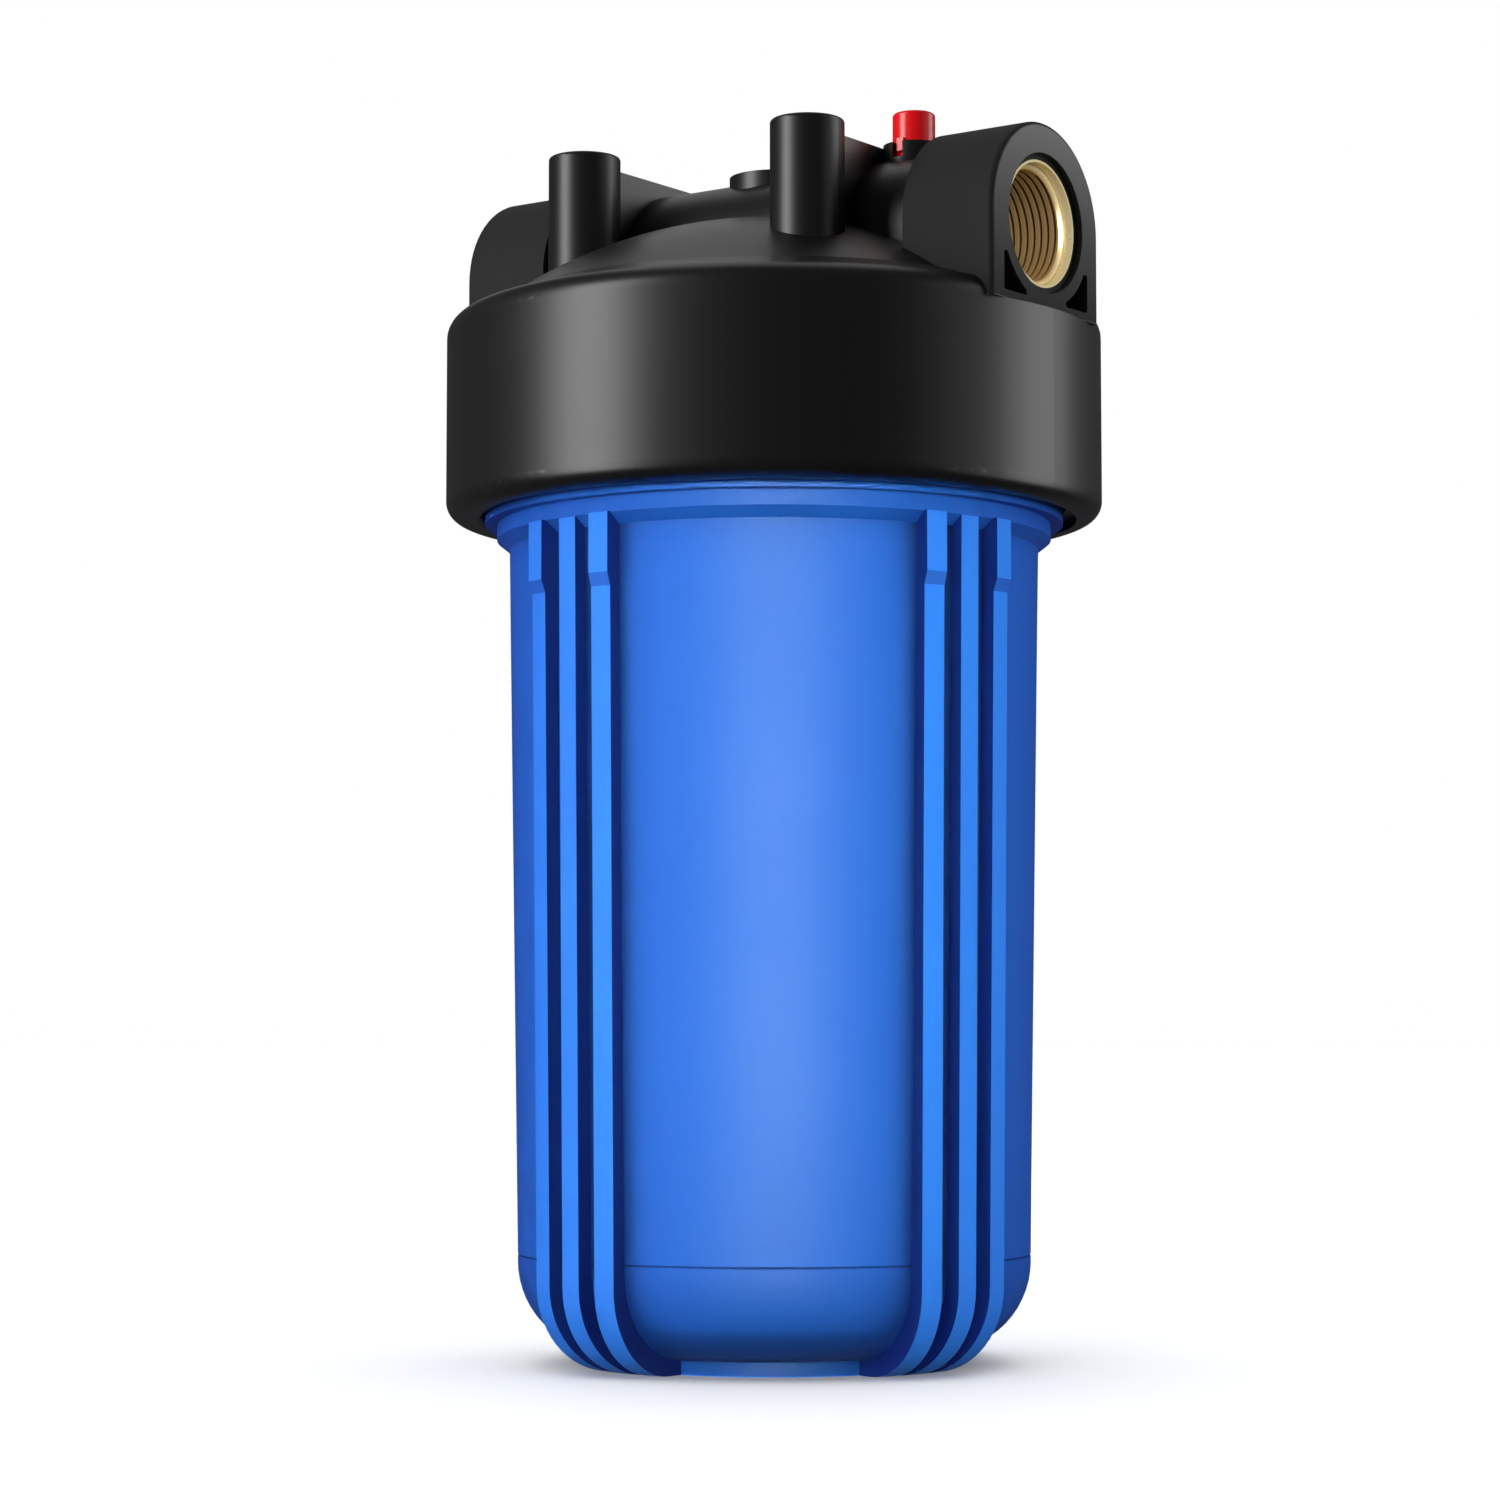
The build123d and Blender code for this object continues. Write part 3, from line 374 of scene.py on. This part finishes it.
def machined_metal(name, color, groove_color, roughness, metallic=1.0, bore=None):
    """Turned metal, darker down in its grooves and, where asked, with painted shade inside its threaded
    bore.
    """
    shader = Shader(name, color, roughness, metallic)
    fine = shader.noise(MACHINED_SCALE, detail=3.0)
    shader.roughness(shader.spread(fine, *(roughness + drift for drift in MACHINED_DRIFT)))
    surface_color = shader.blotched(shader.noise(BLOTCH_SCALE, detail=4.0), color, share=0.92)
    # Painted shade inside the threaded bore
    if bore:
        reach = shader.math("ABSOLUTE", shader.place()[0])
        surface_color = shader.mix(shader.spread(reach, 0.0, 1.0, THREAD_END_X, OPENING_X), bore, surface_color)
    shader.color(shader.mix(shader.openness(THREAD_CREVICE, *THREAD_OPEN_SPAN), groove_color, surface_color))
    shader.bump(fine, strength=0.02, distance=MACHINED_DEPTH)
    return shader.material


MATERIALS = {
    "black_polypropylene": black_plastic(),
    "blue_polypropylene": blue_plastic(),
    "red_plastic": moulded_plastic("red_plastic", RED, roughness=0.25, grain=0.01),
    "white_plastic": moulded_plastic("white_plastic", WHITE, roughness=0.4, grain=0.03),
    "black_rubber": moulded_plastic("black_rubber", RUBBER, roughness=0.62, grain=0.1),
    "pleated_polyester": moulded_plastic("pleated_polyester", POLYESTER, roughness=0.85, grain=0.3),
    "brass": machined_metal(
        "brass", BRASS, GROOVE_BRASS, roughness=0.3, metallic=0.6, bore=BORE_SHADE_BRASS
    ),
    "stainless_steel": machined_metal("stainless_steel", STEEL, GROOVE_STEEL, roughness=0.28),
}


def dress(piece, slot):
    piece.data.materials.clear()
    piece.data.materials.append(MATERIALS[slot])


for entry in frame["record"]["subparts"]:
    dress(frame["nodes"][entry["node"]], entry["material_slot"])


# ---- Studio --------------------------------------------------------------------------------------
FLOOR_REACH = 30.0
FLOOR_ROUGHNESS = 0.7
WASH_ANGLE = radians(100)
WARM_WHITE = (1.0, 0.985, 0.955)
COOL_WHITE = (0.955, 0.977, 1.0)
PALE_GREEN = (0.75, 1.0, 0.8)
ROOM_GLOW = 0.07


def towards(azimuth_from_camera, distance, height):
    """A point round the housing, with its azimuth counted from the camera, to the right."""
    angle = CAMERA_AZIMUTH + radians(azimuth_from_camera)
    return Vector((distance * sin(angle), -distance * cos(angle), height))


def light_only(light, pieces):
    """Limit a light to some pieces."""
    receivers = bpy.data.collections.new(light.name + "_receivers")
    for piece in pieces:
        receivers.objects.link(piece)
    light.light_linking.receiver_collection = receivers


def add_light(name, kind, place, target, power):
    data = bpy.data.lights.new(name, kind)
    data.energy = power
    light = bpy.data.objects.new(name, data)
    bpy.context.scene.collection.objects.link(light)
    light.location = place
    light.rotation_euler = (target - place).to_track_quat("-Z", "Y").to_euler()
    return light


def soft_box(name, place, size, power, pieces=(), glossy=True, spread=180, aim=0.2):
    """A soft box that faces the housing at the height of aim, for some pieces or for all of them.

    Its place is given as azimuth from the camera, distance and height, and its size as width and
    height.
    """
    light = add_light(name, "AREA", towards(*place), Vector((0, 0, aim)), power)
    light.data.shape = "RECTANGLE"
    light.data.size, light.data.size_y = size
    light.data.spread = radians(spread)
    light.visible_glossy = glossy
    if pieces:
        light_only(light, pieces)
    return light


def add_floor():
    signs = ((-1, -1), (1, -1), (1, 1), (-1, 1))
    outline = [(x * FLOOR_REACH, y * FLOOR_REACH, 0) for x, y in signs]
    mesh = bpy.data.meshes.new("floor")
    mesh.from_pydata(outline, [], [(0, 1, 2, 3)])
    floor = bpy.data.objects.new("floor", mesh)
    bpy.context.scene.collection.objects.link(floor)
    shader = Shader("pale_floor", FLOOR_WHITE, FLOOR_ROUGHNESS)
    drift = shader.spread(shader.noise(FLOOR_SCALE, detail=4.0), 0.0, 1.0)
    shader.color(shader.mix(drift, FLOOR_WHITE, FLOOR_GREY))
    floor.data.materials.append(shader.material)
    floor.visible_glossy = False
    floor.visible_diffuse = False
    return floor


def add_wash(name, floor, color, power, shadow):
    """Even light on the floor alone, with or without the housing's shadow in it."""
    wash = add_light(name, "SUN", place=Vector((0, 0, 2)), target=Vector((0, 0, 0)), power=power)
    wash.data.angle = WASH_ANGLE
    wash.data.color = color
    wash.data.use_shadow = shadow
    light_only(wash, [floor])


def light_all():
    """The key light, with a weak light from behind and one from above."""
    soft_box("key", place=(-24, 1.7, 0.25), size=(0.5, 0.9), power=13, glossy=False)
    soft_box("back_fill", place=(190, 1.8, 1.5), size=(0.8, 1.2), power=1.4)
    soft_box("top", place=(180, 0.4, 1.5), size=(0.9, 0.9), power=2)


def light_cap(cap):
    """Upright boxes whose reflections run down the black skirt and posts."""
    soft_box("left_box", place=(-64, 1.3, 0.35), size=(0.6, 1.7), power=25, pieces=cap)
    soft_box("right_box", place=(100, 1.3, 0.35), size=(0.65, 1.7), power=9, pieces=cap)
    soft_box("right_wall", place=(85, 1.35, 0.35), size=(1.7, 1.7), power=3.4, pieces=cap)


def light_bowl(bowl):
    """Soft light on the blue sump from both sides and behind, and a narrow glow from the front."""
    soft_box("bowl_left", place=(-80, 1.3, 0.3), size=(0.8, 1.2), power=10.5, pieces=bowl, glossy=False)
    soft_box("bowl_right", place=(80, 1.3, 0.3), size=(0.8, 1.2), power=11, pieces=bowl, glossy=False)
    soft_box("bowl_back", place=(180, 1.4, 0.5), size=(0.5, 0.9), power=14, pieces=bowl, glossy=False)
    glow = soft_box(
        "bowl_glow",
        place=(0, 1.6, 0.11),
        size=(0.12, 0.3),
        power=0.15,
        pieces=bowl,
        spread=8,
        aim=0.13,
    )
    glow.data.color = PALE_GREEN


def light_ports(nodes):
    """One box before each port, for its brass insert alone."""
    for port, azimuth in (("inlet", 25), ("outlet", 210)):
        insert = [nodes[port + "_insert"]]
        place = (azimuth, 0.9, 0.4)
        soft_box(port + "_light", place, size=(0.5, 0.5), power=13, pieces=insert)


def add_studio(nodes):
    floor = add_floor()
    light_all()
    light_cap([nodes["head_cap"], nodes["vent_button"]])
    light_bowl([nodes["sump"]])
    light_ports(nodes)
    add_wash("floor_wash", floor, WARM_WHITE, power=1.75, shadow=True)
    add_wash("floor_fill", floor, COOL_WHITE, power=2.05, shadow=False)


def add_world():
    """A white room to the camera, and a dim one to everything that reflects it."""
    world = bpy.data.worlds.new("studio")
    world.use_nodes = True
    nodes = world.node_tree.nodes
    links = world.node_tree.links
    path = nodes.new("ShaderNodeLightPath")
    strength = nodes.new("ShaderNodeMapRange")
    strength.inputs["To Min"].default_value = ROOM_GLOW
    strength.inputs["To Max"].default_value = 1.0
    links.new(path.outputs["Is Camera Ray"], strength.inputs["Value"])
    background = nodes["Background"]
    background.inputs["Color"].default_value = (1, 1, 1, 1)
    links.new(strength.outputs["Result"], background.inputs["Strength"])
    bpy.context.scene.world = world


add_camera()
add_studio(frame["nodes"])
add_world()
bpy.context.scene.view_settings.view_transform = "Standard"
